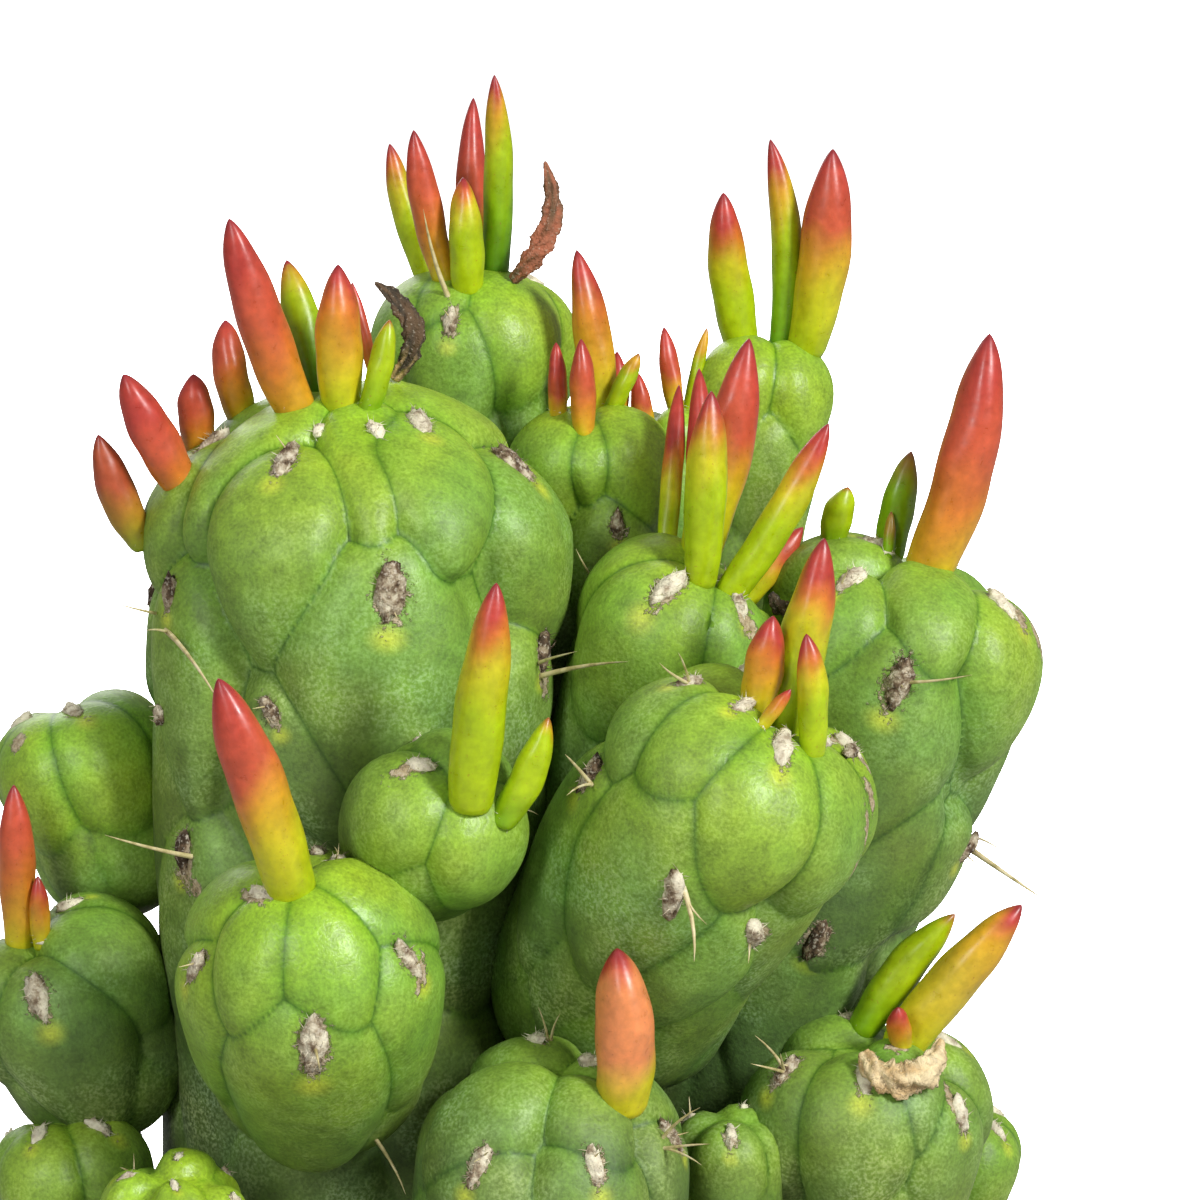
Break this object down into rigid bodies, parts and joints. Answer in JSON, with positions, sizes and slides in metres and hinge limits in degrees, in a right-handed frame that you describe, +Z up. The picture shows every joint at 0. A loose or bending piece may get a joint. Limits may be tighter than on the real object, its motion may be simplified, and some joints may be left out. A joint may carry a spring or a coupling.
{
  "type": "potted clump-forming cactus",
  "caption": "Clump of knobbly green cactus stems with pointed red-tipped young leaves, growing from gritty soil in a plain round clay pot.",
  "frame": {"origin": "centre of the pot's underside", "axes": "+Z up, the side shown in the picture faces -Y"},
  "size_m": [0.16, 0.16, 0.269],
  "materials": {
    "pot": "unglazed terracotta, matt, with a faint pale bloom",
    "soil": "dark gritty potting mix with small stones",
    "skin": "waxy cactus skin, yellow-green on young growth and grey-green where old",
    "leaf_red": "glossy young leaf, red to amber at its foot",
    "leaf_amber": "glossy young leaf, amber with a red tip",
    "leaf_green": "glossy young leaf, yellow-green with a dark red tip",
    "felt": "dry off-white to grey felt in the areoles, and pale straw spines",
    "dry_leaf": "withered leaf, brown to black, wrinkled and matt"
  },
  "bodies": {
    "root": {"back_foot_stem": "skin", "back_left_stem": "skin", "back_right_stem": "skin", "centre_back_stem": "skin", "centre_stem": "skin", "front_foot_stem": "skin", "front_left_stem": "skin", "front_right_stem": "skin", "gap_foot_stem": "skin", "gap_stem": "skin", "leaf_back_left_short": "leaf_amber", "leaf_back_left_tall": "leaf_red", "leaf_back_right": "leaf_red", "leaf_centre_back_tall": "leaf_amber", "leaf_centre_front": "leaf_amber", "leaf_centre_slanted": "leaf_green", "leaf_centre_tall": "leaf_red", "leaf_fist_left": "leaf_amber", "leaf_fist_low": "leaf_amber", "leaf_fist_tall": "leaf_amber", "leaf_front_foot": "leaf_red", "leaf_front_left": "leaf_red", "leaf_left_lower": "leaf_amber", "leaf_main_back": "leaf_red", "leaf_main_green": "leaf_green", "leaf_main_left": "leaf_red", "leaf_main_left_back": "leaf_amber", "leaf_main_low_left": "leaf_red", "leaf_main_mid": "leaf_amber", "leaf_main_tall": "leaf_red", "leaf_right_back_left": "leaf_amber", "leaf_right_back_mid": "leaf_green", "leaf_right_back_tall": "leaf_red", "leaf_right_foot": "leaf_amber", "leaf_right_foot_back": "leaf_green", "leaf_right_green": "leaf_green", "leaf_right_left": "leaf_green", "leaf_right_tall": "leaf_red", "leaf_small_front": "leaf_amber", "leaf_small_low": "leaf_green", "leaf_top_far_left": "leaf_amber", "leaf_top_left": "leaf_red", "leaf_top_mid": "leaf_red", "leaf_top_short": "leaf_amber", "leaf_top_tall": "leaf_green", "left_foot_stem": "skin", "left_lower_stem": "skin", "left_stem": "skin", "low_bud_stem": "skin", "main_stem": "skin", "pot": "pot", "right_back_stem": "skin", "right_edge_stem": "skin", "right_foot_stem": "skin", "right_stem": "skin", "root_crown": "skin", "small_front_stem": "skin", "soil": "soil", "top_back_stem": "skin"}
  },
  "joints": []
}
